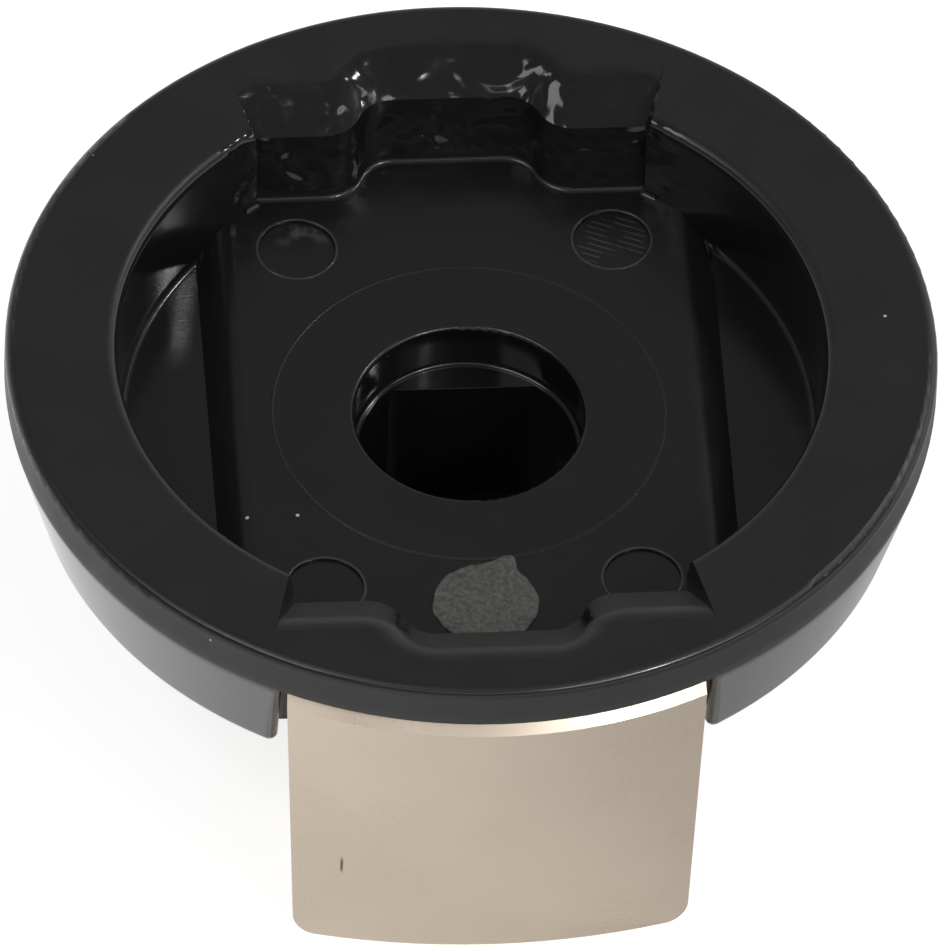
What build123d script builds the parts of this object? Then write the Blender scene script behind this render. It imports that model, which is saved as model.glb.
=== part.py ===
from build123d import *
import os
from math import atan, degrees, radians, tan

# Outer form of the moulded body, in millimetres.
# The knob lies face down: the grip's front face is at z = 0 and the back rim is on top.
overall_height = 16.4
knob_diameter = 40.0
body_thickness = 7.3
flange_thickness = 2.0
flange_foot_radius = 3.0
wing_draft = 15.0
rim_edge_radius = 0.45
front_edge_radius = 0.75
wing_edge_radius = 0.35
wall = 2.0

# Dish in the back of the body, with a plateau over the grip's slot
rim_width = 4.8
side_floor_depth = 5.1
dish_draft = 3.0
dish_floor_radius = 0.25
floor_edge_share = 0.8
dish_lip_radius = 0.5
plateau_edge_slope = 33.0
plateau_edge_radius = 1.1

# Notch at each end of the dish: flat shoulders with a deeper lobe between them.
# The corner inset is how far in front of the shoulders its sides leave the dish's wall.
notch_corner_inset = 0.78
notch_draft = 13.4
lobe_rim_width = 4.55
lobe_depth = 2.0
lobe_foot_width = 10.8
lobe_flat_width = 4.8
notch_chamfer_depth = 1.15
notch_chamfer_reach = 2.1
notch_chamfer_flare = 0.9
notch_chamfer_edge_radius = 2.0

# D-shaped hole for the spindle, with a round lead-in, in a hub that reaches into the grip
spindle_hole_diameter = 9.4
spindle_flat_distance = 3.5
lead_in_step = 0.25
lead_in_depth = 2.3
lead_in_edge_radius = 0.2
hub_wall = 1.05
hub_floor = 1.0

# Marks left by the ejector pins
ejector_diameter = 3.4
ejector_spacing_x = 13.6
ejector_spacing_y = 19.6
ejector_mark_depth = 0.1

# Grip bar and the slot across the front that takes it
grip_width = 18.0
grip_front_width = 16.9
grip_waist = 1.1
grip_end_draft = 1.0
grip_front_end_radius = 32.0
grip_long_edge_radius = 1.0
grip_end_edge_radius = 0.3
grip_top_bevel = 0.8
grip_wall = 1.3
grip_front_wall = 1.9
grip_pocket_radius = 1.0
slot_depth = 1.0
slot_clearance = 0.15
hub_clearance = 0.1

# Levels that follow from the sizes above
rim_z = overall_height
end_ceiling_z = rim_z - flange_thickness
front_z = rim_z - body_thickness
slot_ceiling_z = front_z + slot_depth
side_floor_z = rim_z - side_floor_depth
plateau_z = slot_ceiling_z + wall
chamfer_foot_z = rim_z - notch_chamfer_depth
ledge_z = plateau_z - lead_in_depth
hub_end_z = grip_front_wall + hub_clearance
hole_floor_z = hub_end_z + hub_floor

# Widths and distances that follow from the sizes above
knob_radius = knob_diameter / 2
front_radius = knob_radius - (end_ceiling_z - front_z) * tan(radians(wing_draft))
dish_radius = knob_radius - rim_width
lobe_distance = knob_radius - lobe_rim_width
shoulder_distance = lobe_distance - lobe_depth
notch_corner_y = shoulder_distance - notch_corner_inset
notch_width = 2 * (dish_radius ** 2 - notch_corner_y ** 2) ** 0.5
lead_in_radius = spindle_hole_diameter / 2 + lead_in_step
hub_radius = lead_in_radius + hub_wall
slot_width = grip_width + 2 * slot_clearance
plateau_width = slot_width + 2 * wall
past_edge = knob_diameter


def end_outline(width, flare, reach, closing_y):
    """Closed outline of one end in plan: shoulders, S-curves and lobe, closed by a line at closing_y."""
    half = width / 2
    shoulder_y = shoulder_distance + reach
    lobe_y = lobe_distance + reach
    corner = Vector(half + flare, shoulder_y)
    foot = Vector((lobe_foot_width + flare) / 2, shoulder_y)
    crest = Vector(lobe_flat_width / 2, lobe_y)
    middle = (foot + crest) / 2
    right = [
        Line((half, closing_y), corner),
        Line(corner, foot),
        TangentArc(foot, middle, tangent=(-1, 0)),
    ]
    right.append(TangentArc(middle, crest, tangent=right[-1] % 1))
    left = [mirror(edge, about=Plane.YZ) for edge in right]
    lobe_flat = Line(crest, (-crest.X, crest.Y))
    closing = Line((half, closing_y), (-half, closing_y))
    return make_face(Curve() + right + left + lobe_flat + closing)


def both_ends(solid):
    """A solid at the +Y end together with its copy turned half round to the -Y end."""
    return solid + Rot(0, 0, 180) * solid


def round_dish(floor_z):
    """Round part of the dish down to one floor level, with drafted walls."""
    return extrude(Pos(0, 0, rim_z) * Circle(dish_radius), amount=floor_z - rim_z, taper=dish_draft)


def notch_well():
    """Space of one notch from the rim down to the plateau, with walls that lean in towards the floor."""
    lean = tan(radians(notch_draft))
    inside_y = shoulder_distance / 2
    outlines = [
        Pos(0, 0, level) * end_outline(notch_width, 0, (level - chamfer_foot_z) * lean, inside_y)
        for level in (plateau_z, rim_z)
    ]
    return loft(outlines, ruled=True)


def dish():
    """Whole dish: the part above the plateau with both notches, and the deeper floors beside the plateau."""
    end_block = Pos(0, shoulder_distance / 2, plateau_z) * Box(
        notch_width, past_edge, past_edge, align=(Align.CENTER, Align.MIN, Align.MIN))
    upper = round_dish(plateau_z) - both_ends(end_block) + both_ends(notch_well())
    lower = round_dish(side_floor_z)
    return round_floor(upper) + (round_floor(lower) - plateau_core())


def round_floor(space):
    """Round the floor edge of a hollow, by no more than its shortest edge allows."""
    floor_edges = space.faces().sort_by(Axis.Z)[0].edges()
    shortest = floor_edges.sort_by(SortBy.LENGTH)[0].length
    return fillet(floor_edges, min(dish_floor_radius, floor_edge_share * shortest))


def plateau_core():
    """Space between the dish's sides that stays out of the side floors: the plateau and all above it."""
    crest = plateau_width / 2 - (plateau_z - side_floor_z) / tan(radians(plateau_edge_slope))
    flat = crest - plateau_edge_radius
    right = [
        (plateau_width / 2, side_floor_z),
        (crest, plateau_z),
        (flat, plateau_z),
        (flat, rim_z),
    ]
    left = [(-x, z) for x, z in reversed(right)]
    section = make_face(Polyline(*right, *left, close=True))
    crests = section.vertices().filter_by(lambda corner: abs(abs(corner.X) - crest) < wall / 100)
    return extrude(Plane.XZ * fillet(crests, plateau_edge_radius), amount=knob_radius, both=True)


def notch_chamfer():
    """Broad sloping lip above the shoulders and lobe of one notch, flared at its corners."""
    inside_y = notch_corner_y - notch_corner_inset
    lower = Pos(0, 0, chamfer_foot_z) * end_outline(notch_width, 0, 0, inside_y)
    upper = Pos(0, 0, rim_z) * end_outline(
        notch_width, notch_chamfer_flare, notch_chamfer_reach, inside_y)
    return loft([lower, upper], ruled=True)


def spindle_hole():
    """Round lead-in above a D-shaped hole."""
    lead_in = extrude(Pos(0, 0, ledge_z) * Circle(lead_in_radius), rim_z - ledge_z)
    flat = Pos(0, past_edge / 2 + spindle_flat_distance) * Rectangle(past_edge, past_edge)
    d_shape = Circle(spindle_hole_diameter / 2) - flat
    return lead_in + extrude(Pos(0, 0, hole_floor_z) * d_shape, ledge_z - hole_floor_z)


def grip_slot():
    """Slot across the front that takes the grip, deeper at both ends under the flange."""
    length = knob_diameter + 2 * wall
    channel = Pos(0, 0, front_z) * Box(
        slot_width, length, slot_ceiling_z - front_z, align=(Align.CENTER, Align.CENTER, Align.MIN))
    pocket_outline = end_outline(slot_width, 0, wall, length / 2)
    pocket = extrude(Pos(0, 0, front_z) * pocket_outline, end_ceiling_z - front_z)
    return channel + both_ends(pocket)


def ejector_marks():
    """Shallow round marks of the four ejector pins in the plateau."""
    mark = extrude(Circle(ejector_diameter / 2), ejector_mark_depth)
    places = GridLocations(ejector_spacing_x, ejector_spacing_y, 2, 2)
    return [Pos(0, 0, plateau_z - ejector_mark_depth) * place * mark for place in places]


def round_edges(body):
    """Round the notches' chamfers, the dish's lip, the mouth of the lead-in and the edges of the two wings."""
    rim = body.faces().filter_by(Axis.Z).sort_by(Axis.Z)[-1]
    chamfer_tops = rim.inner_wires()[0].edges().filter_by(
        lambda edge: abs(edge.center().Y) > lobe_distance)
    body = fillet(chamfer_tops, notch_chamfer_edge_radius)
    rim = body.faces().filter_by(Axis.Z).sort_by(Axis.Z)[-1]
    lip = rim.edges().filter_by(GeomType.CIRCLE).filter_by(
        lambda edge: abs(edge.radius - dish_radius) < dish_lip_radius / 2)
    body = fillet(lip, dish_lip_radius)
    for side in (-1, 1):
        wing_wall = body.faces().filter_by(Axis.X).sort_by_distance((side * slot_width / 2, 0, front_z))[0]
        outer_edges = wing_wall.edges().filter_by(GeomType.LINE, reverse=True)
        front_edge = wing_wall.edges().sort_by(Axis.Z)[0]
        body = fillet(outer_edges + [front_edge], wing_edge_radius)
    mouth = body.faces().filter_by(Axis.Z).sort_by_distance((lead_in_radius, 0, plateau_z))[0]
    mouth_edge = mouth.edges().filter_by(GeomType.CIRCLE).sort_by_distance((0, 0, plateau_z))[0]
    return fillet(mouth_edge, lead_in_edge_radius)


def knob_body():
    """Black moulded body: rim, dish, hub and the two wings beside the grip."""
    section = make_face(Polyline(
        (0, front_z),
        (front_radius, front_z),
        (knob_radius, end_ceiling_z),
        (knob_radius, rim_z),
        (0, rim_z),
        close=True,
    ))
    corners = [
        (knob_radius, rim_z, rim_edge_radius),
        (knob_radius, end_ceiling_z, flange_foot_radius),
        (front_radius, front_z, front_edge_radius),
    ]
    for x, z, radius in corners:
        corner = section.vertices().sort_by_distance((x, z))[0]
        section = fillet(corner, radius)
    body = revolve(Plane.XZ * section, Axis.Z)
    body -= dish()
    body -= both_ends(notch_chamfer())
    body -= grip_slot()
    hub = extrude(Pos(0, 0, hub_end_z) * Circle(hub_radius), slot_ceiling_z - hub_end_z)
    body += hub
    body -= spindle_hole()
    body -= ejector_marks()
    return round_edges(body)


def grip_section(z, width, end_y, end_radius, waist):
    """Plan of the grip at one height: hollow sides and bowed ends."""
    half = width / 2
    corner_y = end_y - end_radius + (end_radius ** 2 - half ** 2) ** 0.5
    side = ThreePointArc((half, -corner_y), (half - waist, 0), (half, corner_y))
    end = ThreePointArc((half, corner_y), (0, end_y), (-half, corner_y))
    outline = Curve() + [side, end, mirror(side, about=Plane.YZ), mirror(end, about=Plane.XZ)]
    return Pos(0, 0, z) * make_face(outline)


def grip_blank():
    """Drafted, waisted bar with its outer edges rounded, before it is hollowed."""
    end_drop = end_ceiling_z * tan(radians(grip_end_draft))
    front = grip_section(0, grip_front_width, knob_radius - end_drop, grip_front_end_radius, grip_waist)
    back = grip_section(end_ceiling_z, grip_width, knob_radius, knob_radius, grip_waist)
    bar = loft([front, back], ruled=True)
    long_edges = bar.edges().group_by(Axis.Z)[0].sort_by(SortBy.LENGTH)[-2:]
    bar = fillet(long_edges, grip_long_edge_radius)
    ends = bar.faces().sort_by(Axis.Y)
    for end in (ends[0], ends[-1]):
        edges = end.edges().sort_by(Axis.Z)[:-1]
        bar = fillet(edges, grip_end_edge_radius)
    return bar - grip_bevel()


def grip_bevel():
    """Ring that bevels the top of both grip ends just under the flange."""
    section = make_face(Polyline(
        (knob_radius - grip_top_bevel, end_ceiling_z),
        (knob_radius + grip_top_bevel, end_ceiling_z),
        (knob_radius + grip_top_bevel, end_ceiling_z - 2 * grip_top_bevel),
        close=True,
    ))
    return revolve(Plane.XZ * section, Axis.Z)


def grip_bar():
    """Satin metal grip: the bar hollowed from the back, with a socket for the hub."""
    bar = grip_blank()
    lugs = end_outline(past_edge, 0, wall + slot_clearance, past_edge)
    relief = Rectangle(past_edge, 2 * past_edge) - both_ends(lugs)
    bar -= extrude(Pos(0, 0, slot_ceiling_z) * relief, past_edge)
    socket_radius = hub_radius + hub_clearance
    socket = Pos(0, 0, grip_front_wall) * Circle(socket_radius)
    bar -= extrude(socket, past_edge)
    near_y = socket_radius + grip_wall
    far_y = shoulder_distance
    side_slope = (grip_width - grip_front_width) / 2 / end_ceiling_z
    seat_half_width = grip_front_width / 2 + side_slope * slot_ceiling_z - grip_waist
    pocket_plan = Pos(0, (near_y + far_y) / 2, slot_ceiling_z) * RectangleRounded(
        2 * (seat_half_width - grip_wall), far_y - near_y, grip_pocket_radius)
    pocket = extrude(pocket_plan, grip_front_wall - slot_ceiling_z, taper=degrees(atan(side_slope)))
    return bar - both_ends(pocket)


os.makedirs("parts", exist_ok=True)
export_step(knob_body(), "parts/knob_body.step")
export_step(grip_bar(), "parts/grip_bar.step")
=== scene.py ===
"""Control knob lying face down: a black moulded body over a satin metal grip bar."""

import logging
import math
from dataclasses import dataclass
from enum import Enum

import bmesh
import bpy
import numpy as np
from mathutils import Matrix, Vector


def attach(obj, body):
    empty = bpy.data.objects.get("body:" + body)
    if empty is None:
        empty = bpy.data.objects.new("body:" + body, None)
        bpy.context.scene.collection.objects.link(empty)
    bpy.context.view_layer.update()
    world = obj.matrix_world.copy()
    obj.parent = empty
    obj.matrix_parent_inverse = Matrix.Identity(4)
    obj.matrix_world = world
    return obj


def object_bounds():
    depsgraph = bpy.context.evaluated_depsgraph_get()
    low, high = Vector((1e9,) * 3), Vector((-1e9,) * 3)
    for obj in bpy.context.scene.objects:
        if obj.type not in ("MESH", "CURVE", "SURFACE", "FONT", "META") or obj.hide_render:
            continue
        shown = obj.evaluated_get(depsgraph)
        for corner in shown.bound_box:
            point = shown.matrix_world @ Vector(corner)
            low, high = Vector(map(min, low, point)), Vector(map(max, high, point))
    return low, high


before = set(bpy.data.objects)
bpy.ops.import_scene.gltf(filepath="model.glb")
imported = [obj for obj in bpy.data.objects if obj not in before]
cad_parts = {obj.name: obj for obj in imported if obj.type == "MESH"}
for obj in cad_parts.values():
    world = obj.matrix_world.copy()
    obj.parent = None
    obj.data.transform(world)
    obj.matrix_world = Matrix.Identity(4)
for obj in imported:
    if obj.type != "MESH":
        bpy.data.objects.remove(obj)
CAD_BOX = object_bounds()

LOG = logging.getLogger("control_knob")
MM = 0.001
PIN_X = 6.8 * MM
PIN_Y = 9.8 * MM
WAVE_COUNT = 40
MERGE_GAP = 1e-7
NEEDLE_STRETCH = (1.0, 0.02, 0.0)
SPECK_EDGE = 0.6
TONE_FROM, TONE_TO = 0.3, 0.7
Colour = tuple[float, float, float]


class Slot(Enum):
    """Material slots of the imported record."""

    BLACK_PLASTIC = "black_plastic"
    SATIN_METAL = "satin_metal"


class Node(Enum):
    """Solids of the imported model."""

    BODY = "knob_body"
    GRIP = "grip_bar"


class Sheet:
    """A node tree with short calls for adding and wiring nodes."""

    def __init__(self, tree: bpy.types.NodeTree) -> None:
        """Keep the tree that the nodes go into.

        Args:
            tree: A material's, world's or group's node tree.
        """
        self.tree = tree

    def add(self, kind: str, settings: dict | None = None, **inputs: object) -> bpy.types.Node:
        """Add one node and fill its sockets.

        Args:
            kind: The node's type name, without the ShaderNode prefix.
            settings: Attributes of the node, such as its operation.
            inputs: Values or output sockets by socket name, with _ for a space, or by i and a
                number for an index.

        Returns:
            The new node.
        """
        name = kind if kind.startswith("NodeGroup") else "ShaderNode" + kind
        node = self.tree.nodes.new(name)
        for key, value in (settings or {}).items():
            setattr(node, key, value)
        for key, value in inputs.items():
            self.fill(node, key, value)
        return node

    def fill(self, node: bpy.types.Node, key: str, value: object) -> None:
        """Set one socket of a node to a value, or wire it to an output.

        Args:
            node: The node whose input is filled.
            key: Socket name with _ for a space, or i and a number for an index.
            value: A plain value or an output socket.
        """
        indexed = key[0] == "i" and key[1:].isdigit()
        socket = node.inputs[int(key[1:]) if indexed else key.replace("_", " ")]
        if isinstance(value, bpy.types.NodeSocket):
            self.tree.links.new(value, socket)
        else:
            socket.default_value = value

    def maths(self, operation: str, *terms: object, clamp: bool = False) -> bpy.types.NodeSocket:
        """Add a Math node.

        Args:
            operation: Name of the operation, such as MULTIPLY.
            terms: Up to three values or output sockets.
            clamp: Whether the result is held between 0 and 1.

        Returns:
            The node's output.
        """
        settings = {"operation": operation, "use_clamp": clamp}
        sockets = {f"i{place}": term for place, term in enumerate(terms)}
        return self.add("Math", settings, **sockets).outputs[0]

    def product(self, *factors: object) -> bpy.types.NodeSocket:
        """Multiply two or more numbers.

        Args:
            factors: Values or output sockets.

        Returns:
            Their product.
        """
        result, *others = factors
        for factor in others:
            result = self.maths("MULTIPLY", result, factor)
        return result

    def facing_up(self) -> bpy.types.NodeSocket:
        """Give the upward part of the surface's normal."""
        normal = self.add("NewGeometry").outputs["Normal"]
        return self.add("SeparateXYZ", Vector=normal).outputs["Z"]

    def axis_distance(self, parts: bpy.types.Node) -> bpy.types.NodeSocket:
        """Add the distance from the knob's axis.

        Args:
            parts: The object coordinates, taken apart.

        Returns:
            The distance.
        """
        flat = self.add("CombineXYZ", X=parts.outputs["X"], Y=parts.outputs["Y"])
        away = self.add("VectorMath", {"operation": "LENGTH"}, i0=flat.outputs[0])
        return away.outputs["Value"]

    def step(self, value: object, low: object, high: object) -> bpy.types.NodeSocket:
        """Add a smooth step that rises from 0 at low to 1 at high.

        Args:
            value: What is tested.
            low: Where the step starts.
            high: Where it ends, below low for a falling step.

        Returns:
            The step's output.
        """
        settings = {"interpolation_type": "SMOOTHSTEP"}
        node = self.add("MapRange", settings, Value=value, From_Min=low, From_Max=high)
        return node.outputs["Result"]

    def blend(self, amount: object, first: object, second: object) -> bpy.types.NodeSocket:
        """Add a colour mix.

        Args:
            amount: Share of the second colour.
            first: Colour at 0.
            second: Colour at 1.

        Returns:
            The mixed colour.
        """
        node = self.add("Mix", {"data_type": "RGBA"})
        for key, value in ((0, amount), (6, first), (7, second)):
            self.fill(node, f"i{key}", value)
        return node.outputs[2]

    def span(self, amount: object, first: object, second: object) -> bpy.types.NodeSocket:
        """Add a mix of two numbers.

        Args:
            amount: Share of the second number.
            first: Number at 0.
            second: Number at 1.

        Returns:
            The mixed number.
        """
        node = self.add("Mix", {"data_type": "FLOAT"})
        for key, value in ((0, amount), (2, first), (3, second)):
            self.fill(node, f"i{key}", value)
        return node.outputs[0]

    def group(self, tree: bpy.types.NodeTree, **inputs: object) -> bpy.types.Node:
        """Place a node group with its own values.

        Args:
            tree: The group's tree.
            inputs: Values or outputs by socket name, with _ for a space.

        Returns:
            The group node.
        """
        node = self.tree.nodes.new("ShaderNodeGroup")
        node.node_tree = tree
        for key, value in inputs.items():
            self.fill(node, key, value)
        return node


def opaque(colour: Colour) -> tuple[float, float, float, float]:
    """Give a colour its alpha of 1."""
    return (*colour, 1.0)


class Effects:
    """Shader node groups that several finishes share."""

    def __init__(self) -> None:
        """Build each group once."""
        self.grain = self.make_grain()
        self.hairlines = self.make_hairlines()
        self.specks = self.make_specks()

    @staticmethod
    def start(
        name: str, inputs: dict[str, float], outputs: list[str]
    ) -> tuple[Sheet, dict, bpy.types.Node]:
        """Open a new group with a Vector input and named numbers.

        Args:
            name: Name of the group.
            inputs: Default value of each number input.
            outputs: Names of the number outputs.

        Returns:
            The sheet, the input sockets by name and the output node.
        """
        tree = bpy.data.node_groups.new(name, "ShaderNodeTree")
        tree.interface.new_socket("Vector", in_out="INPUT", socket_type="NodeSocketVector")
        for key, value in inputs.items():
            socket = tree.interface.new_socket(key, in_out="INPUT", socket_type="NodeSocketFloat")
            socket.default_value = value
        for key in outputs:
            tree.interface.new_socket(key, in_out="OUTPUT", socket_type="NodeSocketFloat")
        sheet = Sheet(tree)
        source = sheet.add("NodeGroupInput")
        sink = sheet.add("NodeGroupOutput")
        given = {socket.name: socket for socket in source.outputs if socket.name}
        return sheet, given, sink

    def make_grain(self) -> bpy.types.NodeTree:
        """Surface grain: fine noise for the height and broad noise for the tone.

        Returns:
            A group with the outputs Height and Tone, both about 0 to 1.
        """
        inputs = {"Fine": 9000.0, "Broad": 300.0}
        sheet, given, sink = self.start("surface_grain", inputs, ["Height", "Tone"])
        place = given["Vector"]
        fine = sheet.add("TexNoise", Vector=place, Scale=given["Fine"], Detail=3.0, Roughness=0.6)
        broad = sheet.add(
            "TexNoise", Vector=place, Scale=given["Broad"], Detail=5.0, Roughness=0.55)
        sheet.fill(sink, "Height", fine.outputs[0])
        sheet.fill(sink, "Tone", sheet.step(broad.outputs[0], TONE_FROM, TONE_TO))
        return sheet.tree

    def make_hairlines(self) -> bpy.types.NodeTree:
        """Hairline scratches: discs round a flat Voronoi pattern's points, drawn out to needles.

        Returns:
            A group with the output Mask, 1 on a scratch.
        """
        inputs = {"Scale": 600.0, "Width": 0.016, "Turn": 0.6, "Amount": 0.25}
        sheet, given, sink = self.start("hairline_scratches", inputs, ["Mask"])
        about_z = {"rotation_type": "Z_AXIS"}
        spin = sheet.add("VectorRotate", about_z, Vector=given["Vector"], Angle=given["Turn"])
        times = {"operation": "MULTIPLY"}
        drawn = sheet.add("VectorMath", times, i0=spin.outputs[0], i1=NEEDLE_STRETCH)
        flat = {"voronoi_dimensions": "2D"}
        cells = sheet.add("TexVoronoi", flat, Vector=drawn.outputs[0], Scale=given["Scale"])
        chance = sheet.add("SeparateColor", Color=cells.outputs["Color"])
        thin = sheet.step(cells.outputs["Distance"], given["Width"], 0.0)
        kept = sheet.maths("LESS_THAN", chance.outputs[0], given["Amount"])
        sheet.fill(sink, "Mask", sheet.maths("MULTIPLY", thin, kept))
        return sheet.tree

    def make_specks(self) -> bpy.types.NodeTree:
        """Dust specks: small discs at a Voronoi pattern's points, kept in a share of its cells.

        Returns:
            A group with the output Mask, 1 on a speck.
        """
        inputs = {"Scale": 900.0, "Size": 0.06, "Amount": 0.06}
        sheet, given, sink = self.start("dust_specks", inputs, ["Mask"])
        cells = sheet.add("TexVoronoi", Vector=given["Vector"], Scale=given["Scale"])
        chance = sheet.add("SeparateColor", Color=cells.outputs["Color"])
        size = sheet.maths("MULTIPLY", given["Size"], chance.outputs[1])
        inner = sheet.maths("MULTIPLY", size, SPECK_EDGE)
        disc = sheet.step(cells.outputs["Distance"], size, inner)
        kept = sheet.maths("LESS_THAN", chance.outputs[0], given["Amount"])
        sheet.fill(sink, "Mask", sheet.maths("MULTIPLY", disc, kept))
        return sheet.tree


def new_material(name: str) -> tuple[bpy.types.Material, Sheet, bpy.types.Node]:
    """Make a material with an empty Principled shader.

    Args:
        name: Name of the material.

    Returns:
        The material, its sheet and its Principled shader.
    """
    material = bpy.data.materials.new(name)
    material.use_nodes = True
    material.node_tree.nodes.clear()
    sheet = Sheet(material.node_tree)
    shader = sheet.add("BsdfPrincipled")
    sheet.add("OutputMaterial", Surface=shader.outputs[0])
    return material, sheet, shader


@dataclass(frozen=True)
class MouldedPlastic:
    """Black moulded plastic: satin on the rim and the floors, glossy on the walls and outside.

    The far notch is lumpy, and the two far pin marks are scarred.
    """

    name: str = "black_moulded_plastic"
    colour: Colour = (0.0065, 0.0063, 0.0064)
    dust_colour: Colour = (0.45, 0.44, 0.40)
    scratch_colour: Colour = (0.045, 0.044, 0.042)
    satin: float = 0.42
    plateau_satin: float = 0.28
    floor_satin: float = 0.17
    plateau_z: float = 11.9 * MM
    rim_z: float = 15.0 * MM
    gloss: float = 0.14
    outside_gloss: float = 0.10
    outside_coat: float = 0.5
    outside_radius: float = 16.9 * MM
    outside_z: float = 14.3 * MM
    flange_radius: float = 19.6 * MM
    flange_top: float = 15.85 * MM
    flange_satin: float = 0.45
    ledge_z: float = 10.0 * MM
    floor_z: float = 11.0 * MM
    zone_blur: float = 0.2 * MM
    grain_depth: float = 0.010 * MM
    wave_depth: float = 0.06 * MM
    notch_y: float = 11.5 * MM
    notch_foot: float = 12.4 * MM
    notch_radius: float = 18.0 * MM
    lump_depth: float = 0.62 * MM
    pin_radius: float = 1.6 * MM
    hatch_pitch: float = 0.34 * MM
    hatch_slant: float = 0.45
    frost_from: float = PIN_Y + 0.1 * MM
    frost_to: float = PIN_Y + 1.0 * MM
    scar_scale: float = 900.0
    ior: float = 1.5
    level_from: float = 0.72
    level_to: float = 0.84
    slope_from: float = 0.995
    slope_to: float = 0.95
    tone_swing: float = 0.08
    wave_scale: float = 380.0
    wave_strength: float = 0.35
    outside_wave_strength: float = 0.06
    lump_scale: float = 470.0
    wall_grain_strength: float = 0.12
    level_grain_strength: float = 0.5

    def level_mask(self, sheet: Sheet, place: bpy.types.NodeSocket) -> bpy.types.NodeSocket:
        """Mask of the faces that look up, above the hole's ledge: rim, chamfers, floors, plateau.

        Args:
            sheet: The material's sheet.
            place: Object coordinates.

        Returns:
            A mask, 1 on a level face.
        """
        height = sheet.add("SeparateXYZ", Vector=place).outputs["Z"]
        above = sheet.step(height, self.ledge_z, self.floor_z)
        return sheet.product(above, sheet.step(sheet.facing_up(), self.level_from, self.level_to))

    def outside_mask(self, sheet: Sheet, place: bpy.types.NodeSocket) -> bpy.types.NodeSocket:
        """Mask of the outer wall of the two wings, below the flange.

        Args:
            sheet: The material's sheet.
            place: Object coordinates.

        Returns:
            A mask, 1 on the outer wall.
        """
        parts = sheet.add("SeparateXYZ", Vector=place)
        away, height, blur = sheet.axis_distance(parts), parts.outputs["Z"], self.zone_blur
        beyond = sheet.step(away, self.outside_radius - blur, self.outside_radius + blur)
        below = sheet.step(height, self.outside_z + blur, self.outside_z - blur)
        return sheet.product(beyond, below)

    def flange_mask(self, sheet: Sheet, place: bpy.types.NodeSocket) -> bpy.types.NodeSocket:
        """Mask of the flange's upright edge, between the rim's rounding and the wings.

        Args:
            sheet: The material's sheet.
            place: Object coordinates.

        Returns:
            A mask, 1 on the flange's edge.
        """
        parts = sheet.add("SeparateXYZ", Vector=place)
        away, height, blur = sheet.axis_distance(parts), parts.outputs["Z"], self.zone_blur
        beyond = sheet.step(away, self.flange_radius - blur, self.flange_radius)
        over = sheet.step(height, self.outside_z - blur, self.outside_z + blur)
        under = sheet.step(height, self.flange_top + blur, self.flange_top)
        return sheet.product(beyond, over, under)

    def level_roughness(self, sheet: Sheet, place: bpy.types.NodeSocket) -> bpy.types.NodeSocket:
        """Roughness of the level faces, which grows from the side floors to the rim.

        Args:
            sheet: The material's sheet.
            place: Object coordinates.

        Returns:
            The roughness at that height.
        """
        height = sheet.add("SeparateXYZ", Vector=place).outputs["Z"]
        on_plateau = sheet.step(height, self.plateau_z - 2 * self.zone_blur, self.plateau_z)
        on_rim = sheet.step(height, self.rim_z - 10 * self.zone_blur, self.rim_z)
        lower = sheet.span(on_plateau, self.floor_satin, self.plateau_satin)
        return sheet.span(on_rim, lower, self.satin)

    def notch_mask(self, sheet: Sheet, place: bpy.types.NodeSocket) -> bpy.types.NodeSocket:
        """Mask of the lumpy, badly filled walls and slope of the far notch, under the rim's face.

        Args:
            sheet: The material's sheet.
            place: Object coordinates.

        Returns:
            A mask, 1 on the far notch.
        """
        parts = sheet.add("SeparateXYZ", Vector=place)
        away, blur = sheet.axis_distance(parts), self.zone_blur
        within = sheet.step(away, self.notch_radius, self.notch_radius - 2 * blur)
        behind = sheet.step(parts.outputs["Y"], self.notch_y, self.notch_y + 2 * blur)
        above = sheet.step(parts.outputs["Z"], self.notch_foot, self.notch_foot + blur)
        sloping = sheet.step(sheet.facing_up(), self.slope_from, self.slope_to)
        return sheet.product(within, behind, above, sloping)

    def pin_mask(
        self, sheet: Sheet, place: bpy.types.NodeSocket, side: float
    ) -> bpy.types.NodeSocket:
        """Mask of one of the two far ejector pin marks.

        Args:
            sheet: The material's sheet.
            place: Object coordinates.
            side: 1 for the right mark, -1 for the left one.

        Returns:
            A mask, 1 inside the mark.
        """
        middle = (side * PIN_X, PIN_Y, CAD_BOX[1].z - KnobBody.plateau_drop)
        away = sheet.add("VectorMath", {"operation": "DISTANCE"}, i0=place, i1=middle)
        return sheet.step(away.outputs["Value"], self.pin_radius, self.pin_radius - self.zone_blur)

    def pin_scars(self, sheet: Sheet, place: bpy.types.NodeSocket) -> bpy.types.NodeSocket:
        """Mask of the scars in the far pin marks: tool lines at the right, frosting at the left.

        Args:
            sheet: The material's sheet.
            place: Object coordinates.

        Returns:
            A mask, 1 on a line or a frosted spot.
        """
        parts = sheet.add("SeparateXYZ", Vector=place)
        slant = sheet.maths("MULTIPLY_ADD", parts.outputs["X"], self.hatch_slant, parts.outputs["Y"])
        ripple = sheet.maths("SINE", sheet.product(slant, 2 * math.pi / self.hatch_pitch))
        broken = sheet.add("TexNoise", Vector=place, Scale=self.scar_scale, Detail=3.0).outputs[0]
        lines = sheet.product(sheet.step(ripple, 0.55, 1.0), sheet.step(broken, 0.42, 0.60))
        upper = sheet.step(parts.outputs["Y"], self.frost_from, self.frost_to)
        frost = sheet.product(upper, sheet.step(broken, 0.45, 0.62))
        hatched = sheet.product(lines, self.pin_mask(sheet, place, 1.0))
        frosted = sheet.product(frost, self.pin_mask(sheet, place, -1.0))
        return sheet.maths("MAXIMUM", hatched, frosted)

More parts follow.
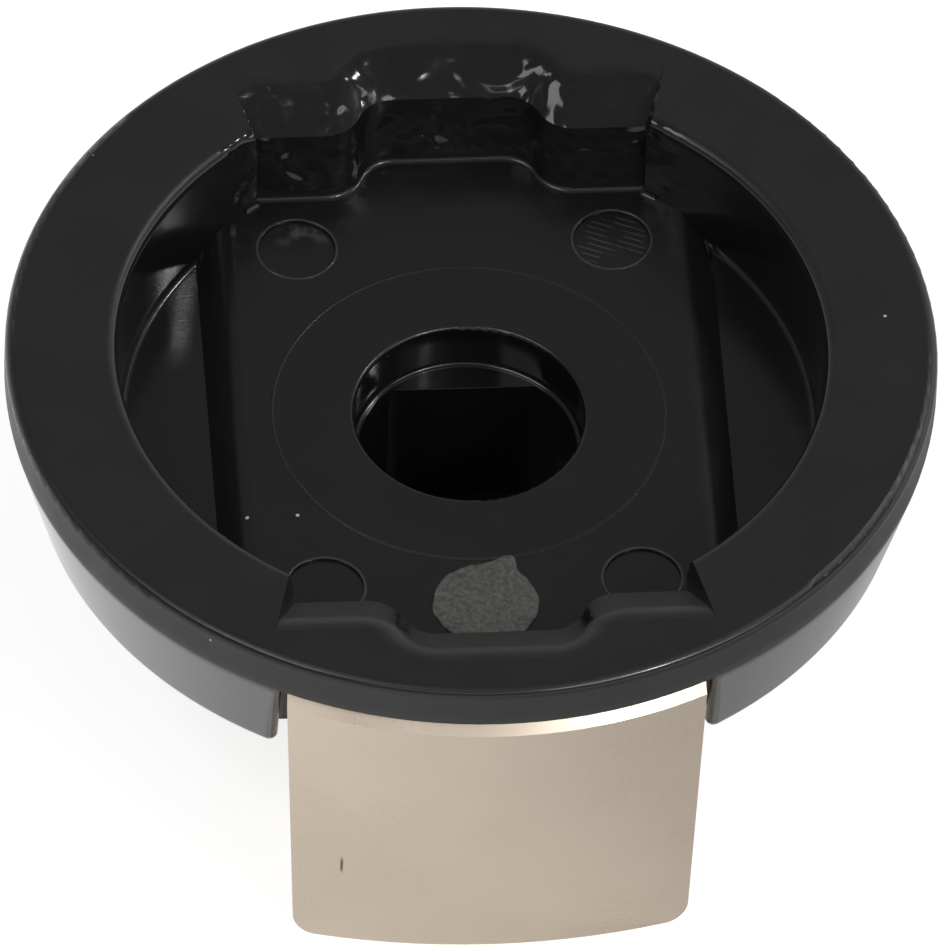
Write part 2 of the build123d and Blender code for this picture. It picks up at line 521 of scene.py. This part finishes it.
    def relief(
        self, sheet: Sheet, place: bpy.types.NodeSocket, masks: dict[str, bpy.types.NodeSocket],
        grain: bpy.types.NodeSocket,
    ) -> bpy.types.NodeSocket:
        """Bumped normal: slow waves everywhere, lumps in the far notch and fine grain on top.

        Args:
            sheet: The material's sheet.
            place: Object coordinates.
            masks: Masks named level, notch and outside.
            grain: Height of the grain.

        Returns:
            The normal.
        """
        waves = sheet.add("TexNoise", Vector=place, Scale=self.wave_scale, Detail=2.0)
        swell = sheet.add("Bump", Height=waves.outputs[0], Distance=self.wave_depth)
        calm = sheet.span(masks["outside"], self.wave_strength, self.outside_wave_strength)
        sheet.fill(swell, "Strength", calm)
        lumps = sheet.add(
            "TexNoise", Vector=place, Scale=self.lump_scale, Detail=2.0, Roughness=0.4,
            Distortion=0.3)
        uneven = sheet.add(
            "Bump", Height=lumps.outputs[0], Distance=self.lump_depth, Normal=swell.outputs[0])
        sheet.fill(uneven, "Strength", masks["notch"])
        fine = sheet.add(
            "Bump", Height=grain, Distance=self.grain_depth, Normal=uneven.outputs[0])
        gritty = sheet.span(masks["level"], self.wall_grain_strength, self.level_grain_strength)
        sheet.fill(fine, "Strength", gritty)
        return fine.outputs[0]

    def material(self, effects: Effects) -> bpy.types.Material:
        """Build the finish.

        Args:
            effects: The shared node groups.

        Returns:
            The material.
        """
        material, sheet, shader = new_material(self.name)
        place = sheet.add("TexCoord").outputs["Object"]
        notch = self.notch_mask(sheet, place)
        even = sheet.maths("SUBTRACT", 1.0, notch)
        level = sheet.product(self.level_mask(sheet, place), even)
        outside = self.outside_mask(sheet, place)
        scars = self.pin_scars(sheet, place)
        grain = sheet.group(effects.grain, Vector=place)
        first = sheet.group(effects.hairlines, Vector=place, Turn=0.7, Scale=430.0, Amount=0.30)
        second = sheet.group(effects.hairlines, Vector=place, Turn=-1.1, Scale=310.0, Amount=0.22)
        specks = sheet.group(effects.specks, Vector=place, Size=0.10, Amount=0.11).outputs["Mask"]
        lines = sheet.maths("MAXIMUM", first.outputs["Mask"], second.outputs["Mask"])
        lines = sheet.product(lines, sheet.product(grain.outputs["Tone"], level))
        tone = sheet.maths(
            "MULTIPLY_ADD", grain.outputs["Tone"], self.tone_swing, -self.tone_swing / 2)
        smooth = sheet.span(outside, self.gloss, self.outside_gloss)
        smooth = sheet.span(self.flange_mask(sheet, place), smooth, self.flange_satin)
        zones = sheet.span(level, smooth, self.level_roughness(sheet, place))
        roughness = sheet.maths("ADD", zones, tone)
        worn = sheet.maths("MAXIMUM", lines, scars)
        colour = sheet.blend(worn, opaque(self.colour), opaque(self.scratch_colour))
        sheet.fill(shader, "Base_Color", sheet.blend(specks, colour, opaque(self.dust_colour)))
        sheet.fill(shader, "Roughness", sheet.maths("MAXIMUM", roughness, specks))
        sheet.fill(shader, "IOR", self.ior)
        sheet.fill(shader, "Coat_Weight", sheet.product(outside, self.outside_coat))
        sheet.fill(shader, "Coat_Roughness", self.outside_gloss)
        masks = {"level": level, "notch": notch, "outside": outside}
        normal = self.relief(sheet, place, masks, grain.outputs["Height"])
        sheet.fill(shader, "Normal", normal)
        return material


@dataclass(frozen=True)
class BrokenPlastic:
    """Dull grey plastic where the sprue was broken off."""

    colour: Colour = (0.045, 0.045, 0.040)
    pale: Colour = (0.095, 0.095, 0.086)
    roughness: float = 0.75
    fine_scale: float = 11000.0
    broad_scale: float = 5200.0
    bump_depth: float = 0.05 * MM
    bump_strength: float = 0.8

    def material(self, effects: Effects) -> bpy.types.Material:
        """Build the finish.

        Args:
            effects: The shared node groups.

        Returns:
            The material.
        """
        material, sheet, shader = new_material("broken_plastic")
        place = sheet.add("TexCoord").outputs["Object"]
        grain = sheet.group(
            effects.grain, Vector=place, Fine=self.fine_scale, Broad=self.broad_scale)
        colour = sheet.blend(grain.outputs["Tone"], opaque(self.colour), opaque(self.pale))
        sheet.fill(shader, "Base_Color", colour)
        sheet.fill(shader, "Roughness", self.roughness)
        bump = sheet.add(
            "Bump", Height=grain.outputs["Height"], Distance=self.bump_depth,
            Strength=self.bump_strength)
        sheet.fill(shader, "Normal", bump.outputs[0])
        return material


@dataclass(frozen=True)
class SatinMetal:
    """Warm satin nickel with one dark nick, brushed level round the sides and along the front."""

    colour: Colour = (0.62, 0.53, 0.43)
    nick_colour: Colour = (0.10, 0.08, 0.06)
    roughness: float = 0.30
    brush_depth: float = 0.004 * MM
    brush_strength: float = 0.25
    brush_scale: float = 9000.0
    brush_stretch: float = 0.03
    brush_spread: float = 0.12
    front_from: float = 0.6
    front_to: float = 0.8
    smudge_scale: float = 180.0
    smudge_swing: float = 0.06
    shade_swing: float = 0.06
    shade_low: float = 0.95
    streak_swing: float = 0.04
    nick_fade: float = 0.3
    nick_x: float = -6.5 * MM
    nick_top: float = 5.2 * MM
    nick_foot: float = 4.0 * MM
    nick_width: float = 0.10 * MM

    def brushing(self, sheet: Sheet, place: bpy.types.NodeSocket) -> bpy.types.NodeSocket:
        """Noise drawn out along the brushing, which turns with the face.

        Args:
            sheet: The material's sheet.
            place: Object coordinates.

        Returns:
            The height of the brushing, about 0 to 1.
        """
        level = sheet.maths("ABSOLUTE", sheet.facing_up())
        front = sheet.step(level, self.front_from, self.front_to)
        times, drawn = {"operation": "MULTIPLY"}, self.brush_stretch
        sides = sheet.add("VectorMath", times, i0=place, i1=(drawn, drawn, 1.0))
        lengthwise = sheet.add("VectorMath", times, i0=place, i1=(1.0, drawn, drawn))
        vectors = {"data_type": "VECTOR"}
        heading = sheet.add(
            "Mix", vectors, i0=front, i4=sides.outputs[0], i5=lengthwise.outputs[0])
        brush = sheet.add(
            "TexNoise", Vector=heading.outputs[1], Scale=self.brush_scale, Detail=4.0,
            Roughness=0.65)
        return brush.outputs[0]

    def nick(self, sheet: Sheet, place: bpy.types.NodeSocket) -> bpy.types.NodeSocket:
        """Mask of one short upright nick near the left edge of the near end.

        Args:
            sheet: The material's sheet.
            place: Object coordinates.

        Returns:
            A mask, 1 on the nick.
        """
        parts = sheet.add("SeparateXYZ", Vector=place)
        middle = (self.nick_top + self.nick_foot) / 2
        reach = (self.nick_top - self.nick_foot) / 2
        aside = sheet.maths("ABSOLUTE", sheet.maths("SUBTRACT", parts.outputs["X"], self.nick_x))
        along = sheet.maths("ABSOLUTE", sheet.maths("SUBTRACT", parts.outputs["Z"], middle))
        narrow = sheet.step(aside, self.nick_width, 0.0)
        short = sheet.step(along, reach, self.nick_fade * reach)
        near = sheet.maths("LESS_THAN", parts.outputs["Y"], 0.0)
        return sheet.product(narrow, short, near)

    def material(self, effects: Effects) -> bpy.types.Material:
        """Build the finish.

        Args:
            effects: The shared node groups.

        Returns:
            The material.
        """
        material, sheet, shader = new_material("satin_nickel")
        place = sheet.add("TexCoord").outputs["Object"]
        brush = self.brushing(sheet, place)
        tone = sheet.group(effects.grain, Vector=place, Broad=self.smudge_scale).outputs["Tone"]
        smoothest = self.roughness - self.brush_spread / 2
        spread = sheet.maths("MULTIPLY_ADD", brush, self.brush_spread, smoothest)
        smudge = sheet.maths("MULTIPLY_ADD", tone, self.smudge_swing, -self.smudge_swing / 2)
        shade = sheet.maths("MULTIPLY_ADD", tone, self.shade_swing, self.shade_low)
        streaks = sheet.maths("MULTIPLY_ADD", brush, self.streak_swing, -self.streak_swing / 2)
        bright = sheet.maths("ADD", shade, streaks)
        tint = sheet.add("VectorMath", {"operation": "SCALE"}, i0=self.colour, Scale=bright)
        nick = self.nick(sheet, place)
        colour = sheet.blend(nick, tint.outputs[0], opaque(self.nick_colour))
        sheet.fill(shader, "Base_Color", colour)
        sheet.fill(shader, "Metallic", 1.0)
        sheet.fill(shader, "Roughness", sheet.maths("ADD", spread, smudge))
        bump = sheet.add(
            "Bump", Height=brush, Distance=self.brush_depth, Strength=self.brush_strength)
        sheet.fill(shader, "Normal", bump.outputs[0])
        return material


def sine_field(
    x: np.ndarray, y: np.ndarray, shortest: float, longest: float, seed: int
) -> np.ndarray:
    """Uneven height over a plane: a sum of sine waves with random headings and phases.

    The wavelengths are spaced evenly in ratio. Each wave is weighted by the root of its length, so
    long waves give the form and short ones the roughness.

    Args:
        x: First coordinate.
        y: Second coordinate, of the same shape.
        shortest: Shortest wave.
        longest: Longest wave.
        seed: Start of the random numbers.

    Returns:
        Heights, about -1 to 1.
    """
    random = np.random.default_rng(seed)
    lengths = np.geomspace(shortest, longest, WAVE_COUNT)
    headings = random.uniform(0.0, 2 * np.pi, lengths.size)
    phases = random.uniform(0.0, 2 * np.pi, lengths.size)
    along = x[..., None] * np.cos(headings) + y[..., None] * np.sin(headings)
    heights = np.sin(2 * np.pi * along / lengths + phases) * np.sqrt(lengths)
    return heights.sum(axis=-1) / np.sqrt(lengths.sum())


def grid_object(
    name: str, points: np.ndarray, round_rows: bool = False, round_columns: bool = False
) -> bpy.types.Object:
    """Make a mesh object of a grid of points, with quads between neighbours.

    Args:
        name: Name of the object and its mesh.
        points: Array of rows, columns and three coordinates.
        round_rows: Whether the last row joins the first.
        round_columns: Whether the last column joins the first.

    Returns:
        The object, at the origin.
    """
    index = np.arange(points.shape[0] * points.shape[1]).reshape(points.shape[:2])
    index = np.concatenate([index, index[:1]], axis=0) if round_rows else index
    index = np.concatenate([index, index[:, :1]], axis=1) if round_columns else index
    quads = np.stack([index[:-1, :-1], index[1:, :-1], index[1:, 1:], index[:-1, 1:]], axis=-1)
    mesh = bpy.data.meshes.new(name)
    mesh.from_pydata(points.reshape(-1, 3).tolist(), [], quads.reshape(-1, 4).tolist())
    made = bpy.data.objects.new(name, mesh)
    bpy.context.scene.collection.objects.link(made)
    return made


def close_surface(piece: bpy.types.Object) -> None:
    """Merge the doubled points at a piece's poles, turn its faces outwards and shade it smooth.

    Args:
        piece: The piece to finish.
    """
    work = bmesh.new()
    work.from_mesh(piece.data)
    bmesh.ops.remove_doubles(work, verts=work.verts, dist=MERGE_GAP)
    bmesh.ops.recalc_face_normals(work, faces=work.faces)
    work.to_mesh(piece.data)
    work.free()
    piece.data.shade_smooth()


def add_piece(piece: bpy.types.Object, material: bpy.types.Material) -> None:
    """Dress a new piece, fix it to the knob and report it.

    Args:
        piece: The piece.
        material: Its finish.
    """
    piece.data.materials.append(material)
    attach(piece, "root")
    LOG.info("added %s with %d faces", piece.name, len(piece.data.polygons))


def dress_node(node: Node, material: bpy.types.Material) -> None:
    """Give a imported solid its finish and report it.

    Args:
        node: The solid.
        material: The finish for all its slots.
    """
    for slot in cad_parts[node.value].material_slots:
        slot.material = material
    LOG.info("dressed %s with %s", node.value, material.name)


@dataclass
class KnobBody:
    """Moulded body with the marks that its mould left on the plateau."""

    plateau_drop: float = 4.3 * MM
    witness_radius: float = 8.45 * MM
    witness_width: float = 0.13 * MM
    witness_height: float = 0.03 * MM
    ring_steps: int = 192
    section_steps: int = 10
    swell_counts: tuple[int, int, int] = (1, 3, 8)
    swell_mean: float = 0.45
    swell_reach: float = 0.28
    swell_least: float = 0.06
    pin_radius: float = 1.72 * MM
    flash_width: float = 0.13 * MM
    flash_height: float = 0.05 * MM
    flash_colour: Colour = (0.030, 0.030, 0.028)
    seam_colour: Colour = (0.013, 0.013, 0.012)
    lead_in_radius: float = 4.95 * MM
    ledge_drop: float = 6.6 * MM
    cove_radius: float = 0.20 * MM
    cove_sunk: float = 0.02 * MM
    cove_steps: int = 160
    cove_bends: int = 9
    flat_y: float = 3.5 * MM
    flat_half: float = 3.0 * MM
    bead_radius: float = 0.035 * MM
    bead_steps: int = 60
    gate_y: float = -10.7 * MM
    gate_radius: float = 2.25 * MM
    gate_lean: float = 0.35 * MM
    gate_spur: float = 0.75 * MM
    gate_spur_angle: float = 63.0
    gate_spur_spread: float = 13.0
    gate_height: float = 0.16 * MM
    gate_roughness: float = 0.035 * MM
    gate_ripple: float = 0.009
    gate_side_power: float = 0.6
    gate_top_power: float = 0.35
    gate_shortest: float = 0.12 * MM
    gate_longest: float = 1.6 * MM
    gate_seed: int = 11
    gate_edge: float = 6.0
    gate_rows: int = 72
    gate_columns: int = 220

    @property
    def plateau_z(self) -> float:
        """Height of the plateau."""
        return CAD_BOX[1].z - self.plateau_drop

    @property
    def ledge_z(self) -> float:
        """Height of the ledge in the hole."""
        return CAD_BOX[1].z - self.ledge_drop

    def ring_points(
        self, x: float, y: float, radius: float, width: float, height: float, seed: int
    ) -> np.ndarray:
        """Thin uneven ring: a flat ellipse of that width and height carried round a circle.

        The height swells and fades round the ring with a sum of three cosines of the angle.

        Args:
            x: First coordinate of the centre.
            y: Second coordinate of the centre.
            radius: Radius of the circle.
            width: Width of the ring.
            height: Greatest height above the plateau.
            seed: Start of the random phases.

        Returns:
            Grid of points, closed both ways.
        """
        phases = np.random.default_rng(seed).uniform(0.0, 2 * np.pi, 3)
        turn = np.linspace(0.0, 2 * np.pi, self.ring_steps, endpoint=False)[:, None]
        side = np.linspace(0.0, 2 * np.pi, self.section_steps, endpoint=False)[None, :]
        waves = zip(self.swell_counts, phases)
        swell = sum(np.cos(count * turn + phase) for count, phase in waves)
        share = np.clip(self.swell_mean + self.swell_reach * swell, self.swell_least, 1.0)
        rise = height * share * np.sin(side)
        reach = radius + width / 2 * np.cos(side)
        place = [x + reach * np.cos(turn), y + reach * np.sin(turn), self.plateau_z + rise]
        return np.stack(place, axis=-1)

    def cove_points(self) -> np.ndarray:
        """Small cove at the foot of the hole's lead-in: a hollow quarter circle round the wall.

        The section's back corner lies inside the moulding, so it meets the wall and the ledge.

        Returns:
            Grid of points, closed both ways.
        """
        size, low = self.cove_radius, -self.cove_sunk
        inner, outer = self.lead_in_radius - size, self.lead_in_radius + self.cove_sunk
        bend = np.linspace(0.0, np.pi / 2, self.cove_bends)
        reach = np.concatenate([inner + size * np.cos(bend), [inner, outer, outer]])[None, :]
        rise = np.concatenate([size * (1.0 - np.sin(bend)), [low, low, size]])[None, :]
        turn = np.linspace(0.0, 2 * np.pi, self.cove_steps, endpoint=False)[:, None]
        place = [reach * np.cos(turn), reach * np.sin(turn), self.ledge_z + rise]
        return np.stack(np.broadcast_arrays(*place), axis=-1)

    def bead_points(self) -> np.ndarray:
        """Fine burr along the ledge's straight edge: a thin round bar, pointed at each end.

        Its radius falls with the root of 1 less the square of the share of the half length.

        Returns:
            Grid of points along the bar, closed round the columns.
        """
        share = np.linspace(-1.0, 1.0, self.bead_steps)[:, None]
        side = np.linspace(0.0, 2 * np.pi, self.section_steps, endpoint=False)[None, :]
        thick = self.bead_radius * np.sqrt(1.0 - share ** 2)
        across = self.flat_y + thick * np.cos(side)
        place = [self.flat_half * share, across, self.ledge_z + thick * np.sin(side)]
        return np.stack(np.broadcast_arrays(*place), axis=-1)

    def gate_points(self) -> np.ndarray:
        """Rough lump with steep sides: a flattened ball stretched to an uneven outline.

        The outline's radius leans with the sine of the angle and has one spur, a bell curve of the
        angle, and a ripple of two cosines. Sine waves in the plane roughen the top.

        Returns:
            Grid of points from the top pole to the bottom pole, closed round the columns.
        """
        fall = np.linspace(0.0, np.pi, self.gate_rows)[:, None]
        turn = np.linspace(0.0, 2 * np.pi, self.gate_columns, endpoint=False)[None, :]
        spur_turn = (np.degrees(turn) - self.gate_spur_angle) / self.gate_spur_spread
        outline = self.gate_radius - self.gate_lean * np.sin(turn)
        outline = outline + self.gate_spur * np.exp(-spur_turn ** 2)
        ripple = np.cos(7 * turn + 1.0) + np.cos(13 * turn)
        outline = outline + self.gate_ripple * self.gate_radius * ripple
        reach = outline * np.sin(fall) ** self.gate_side_power
        x, y = reach * np.cos(turn), reach * np.sin(turn)
        level = np.cos(fall)
        rise = self.gate_height * np.sign(level) * np.abs(level) ** self.gate_top_power
        rough = self.gate_roughness * sine_field(
            x, y, self.gate_shortest, self.gate_longest, self.gate_seed)
        z = self.plateau_z + rise + rough * np.clip(level * self.gate_edge, 0.0, 1.0)
        return np.stack([x, self.gate_y + y, z], axis=-1)

    def build(self, effects: Effects) -> None:
        """Dress the moulded solid and add the mould's marks.

        Args:
            effects: The shared node groups.
        """
        plastic = MouldedPlastic().material(effects)
        flash = MouldedPlastic("mould_flash", self.flash_colour).material(effects)
        seam = MouldedPlastic("mould_seam", self.seam_colour).material(effects)
        dress_node(Node.BODY, plastic)
        witness = self.ring_points(
            0.0, 0.0, self.witness_radius, self.witness_width, self.witness_height, 1)
        rings = {"witness_ring": witness}
        for number, (right, far) in enumerate(((-1, -1), (1, -1), (-1, 1), (1, 1)), start=1):
            rings[f"pin_flash_{number}"] = self.ring_points(
                right * PIN_X, far * PIN_Y, self.pin_radius, self.flash_width,
                self.flash_height, number)
        for name, points in rings.items():
            ring = grid_object(name, points, round_rows=True, round_columns=True)
            close_surface(ring)
            add_piece(ring, seam if name == "witness_ring" else flash)
        cove = grid_object("ledge_cove", self.cove_points(), round_rows=True, round_columns=True)
        bead = grid_object("ledge_burr", self.bead_points(), round_columns=True)
        for piece in (cove, bead):
            close_surface(piece)
            add_piece(piece, plastic)
        gate = grid_object("gate_mark", self.gate_points(), round_columns=True)
        close_surface(gate)
        add_piece(gate, BrokenPlastic().material(effects))


@dataclass
class GripBar:
    """Satin metal grip under the body."""

    finish: SatinMetal = SatinMetal()

    def build(self, effects: Effects) -> None:
        """Dress the metal solid.

        Args:
            effects: The shared node groups.
        """
        dress_node(Node.GRIP, self.finish.material(effects))


def direction(azimuth: float, elevation: float) -> Vector:
    """Give the unit vector from the knob towards a lamp or the camera.

    Args:
        azimuth: Degrees to the right of the front.
        elevation: Degrees above the floor.

    Returns:
        The vector.
    """
    turn, lift = math.radians(azimuth), math.radians(elevation)
    level = math.cos(lift)
    return Vector((math.sin(turn) * level, -math.cos(turn) * level, math.sin(lift)))


@dataclass(frozen=True)
class Softbox:
    """A rectangular studio lamp aimed at the knob."""

    name: str
    azimuth: float
    elevation: float
    distance: float
    width: float
    height: float
    radiance: float

    def build(self, target: Vector) -> bpy.types.Object:
        """Place the lamp.

        Args:
            target: The point that the lamp faces.

        Returns:
            The lamp's object.
        """
        lamp = bpy.data.lights.new(self.name, "AREA")
        lamp.shape = "RECTANGLE"
        lamp.size, lamp.size_y = self.width, self.height
        lamp.energy = self.radiance * math.pi * self.width * self.height
        lit = bpy.data.objects.new(self.name, lamp)
        bpy.context.scene.collection.objects.link(lit)
        away = direction(self.azimuth, self.elevation)
        lit.location = target + away * self.distance
        lit.rotation_mode = "QUATERNION"
        lit.rotation_quaternion = away.to_track_quat("Z", "Y")
        return lit


@dataclass
class Studio:
    """Pale floor, a room that is bright round the horizon, lamps and the camera."""

    floor_size: float = 3.0
    floor_gap: float = 0.02 * MM
    floor_colour: Colour = (0.86, 0.86, 0.86)
    floor_shown: Colour = (0.50, 0.50, 0.50)
    floor_glow: float = 0.74
    floor_roughness: float = 0.9
    mottle_scale: float = 14.0
    mottle_swing: float = 0.02
    # Painted light: in glossy rays the floor glows brighter on the left than on the right, a painted
    # pool of light and painted shadow beside the knob that its wings and flange reflect.
    painted_reflected_light_left: float = 0.62
    painted_reflected_shade_right: float = 0.17
    painted_light_reach: float = 26.0 * MM
    horizon: float = 1.0
    overhead: float = 0.24
    overhead_from: float = 0.57
    room_lean: float = 0.30
    azimuth: float = -5.353
    elevation: float = 47.909
    roll: float = 2.189
    view_width: float = 945 / 23.342 * MM
    centre_right: float = 0.04 * MM
    centre_below: float = 5.445 * MM
    distance: float = 1.7
    sensor: float = 36.0
    clip_near: float = 0.01
    clip_far: float = 20.0

    def lamps(self) -> list[Softbox]:
        """List the lamps with their directions, distances, sizes and strengths."""
        return [
            Softbox("window_left", -62.0, 54.0, 0.8, 0.50, 0.32, 3.6),
            Softbox("lamp_back", 112.0, 46.0, 0.8, 0.09, 0.09, 45.0),
            Softbox("lamp_front", 42.0, 43.0, 0.8, 0.08, 0.06, 55.0),
            Softbox("strip_front", 44.0, 43.0, 0.8, 0.62, 0.15, 3.4),
            Softbox("window_front", 2.0, 41.0, 0.8, 0.70, 0.10, 1.7),
        ]

    def build_floor(self) -> bpy.types.Object:
        """Lay the floor as a flat grid over x and y, just under the knob's lowest point, with
        painted light that makes its glow in reflections brighter on the left than on the right.

        Returns:
            The floor's object.
        """
        spots = np.linspace(-self.floor_size / 2, self.floor_size / 2, 3)
        across, along = np.meshgrid(spots, spots, indexing="ij")
        low = np.full_like(across, CAD_BOX[0].z - self.floor_gap)
        points = np.stack([across, along, low], axis=-1)
        floor = grid_object("studio_floor", points)
        material, sheet, shader = new_material("pale_floor")
        place = sheet.add("TexCoord").outputs["Object"]
        mottle = sheet.add("TexNoise", Vector=place, Scale=self.mottle_scale, Detail=3.0)
        rays = sheet.add("LightPath")
        direct = sheet.maths("ADD", rays.outputs["Is Camera Ray"], rays.outputs["Is Glossy Ray"])
        shown = sheet.maths("ADD", direct, rays.outputs["Is Transmission Ray"], clamp=True)
        plain = sheet.blend(shown, opaque(self.floor_colour), opaque(self.floor_shown))
        shade = sheet.maths(
            "MULTIPLY_ADD", mottle.outputs[0], self.mottle_swing, 1.0 - self.mottle_swing / 2)
        tint = sheet.add("VectorMath", {"operation": "SCALE"}, i0=plain, Scale=shade)
        sheet.fill(shader, "Base_Color", tint.outputs[0])
        sheet.fill(shader, "Roughness", self.floor_roughness)
        sheet.fill(shader, "Emission_Color", (1.0, 1.0, 1.0, 1.0))
        # Painted reflection: the glow that glossy rays see runs from bright at the left to dim at
        # the right across the knob, in place of a floor lit on the left and shaded by the knob on
        # the right.
        aside = sheet.add("SeparateXYZ", Vector=place).outputs["X"]
        painted_shade_share = sheet.step(aside, -self.painted_light_reach, self.painted_light_reach)
        painted_reflected_light = sheet.span(painted_shade_share, self.painted_reflected_light_left, self.painted_reflected_shade_right)
        glow = sheet.span(rays.outputs["Is Camera Ray"], painted_reflected_light, self.floor_glow)
        sheet.fill(shader, "Emission_Strength", sheet.maths("MULTIPLY", shown, glow))
        floor.data.materials.append(material)
        return floor

    def build_world(self) -> None:
        """Light the room, brightest round the horizon, and show the camera white past the floor."""
        world = bpy.data.worlds.new("studio_room")
        bpy.context.scene.world = world
        world.use_nodes = True
        world.node_tree.nodes.clear()
        sheet = Sheet(world.node_tree)
        heading = sheet.add("SeparateXYZ", Vector=sheet.add("TexCoord").outputs["Generated"])
        rise = sheet.step(heading.outputs["Z"], 0.0, self.overhead_from)
        lean = sheet.maths("MULTIPLY_ADD", heading.outputs["X"], self.room_lean, 1.0)
        glow = sheet.maths("MULTIPLY", sheet.span(rise, self.horizon, self.overhead), lean)
        seen = sheet.add("LightPath").outputs["Is Camera Ray"]
        strength = sheet.span(seen, glow, 1.0)
        sky = sheet.add("Background", Color=(1.0, 1.0, 1.0, 1.0), Strength=strength)
        sheet.add("OutputWorld", Surface=sky.outputs[0])

    def build_camera(self) -> bpy.types.Object:
        """Place a long-lens camera at the photograph's angle, roll and framing.

        Returns:
            The camera's object.
        """
        turn, lean = math.radians(self.azimuth), math.radians(self.roll)
        back = direction(self.azimuth, self.elevation)
        level = Vector((math.cos(turn), math.sin(turn), 0.0))
        rise = back.cross(level)
        right = level * math.cos(lean) + rise * math.sin(lean)
        up = rise * math.cos(lean) - level * math.sin(lean)
        rim_centre = Vector((0.0, 0.0, CAD_BOX[1].z))
        target = rim_centre + right * self.centre_right - up * self.centre_below
        lens = bpy.data.cameras.new("photo_camera")
        lens.sensor_width = self.sensor
        lens.lens = self.sensor * self.distance / self.view_width
        lens.clip_start, lens.clip_end = self.clip_near, self.clip_far
        camera = bpy.data.objects.new("photo_camera", lens)
        bpy.context.scene.collection.objects.link(camera)
        turned = Matrix((right, up, back)).transposed()
        camera.matrix_world = Matrix.Translation(target + back * self.distance) @ turned.to_4x4()
        bpy.context.scene.camera = camera
        return camera

    def build(self) -> None:
        """Build the floor, the room, the lamps and the camera."""
        self.build_floor()
        self.build_world()
        centre = (CAD_BOX[0] + CAD_BOX[1]) / 2
        for lamp in self.lamps():
            lamp.build(centre)
        self.build_camera()
        bpy.context.scene.view_settings.view_transform = "Standard"


def main() -> None:
    """Build the body, the grip and the studio in order."""
    logging.basicConfig(level=logging.INFO)
    effects = Effects()
    KnobBody().build(effects)
    GripBar().build(effects)
    Studio().build()


if __name__ == "__main__":
    main()
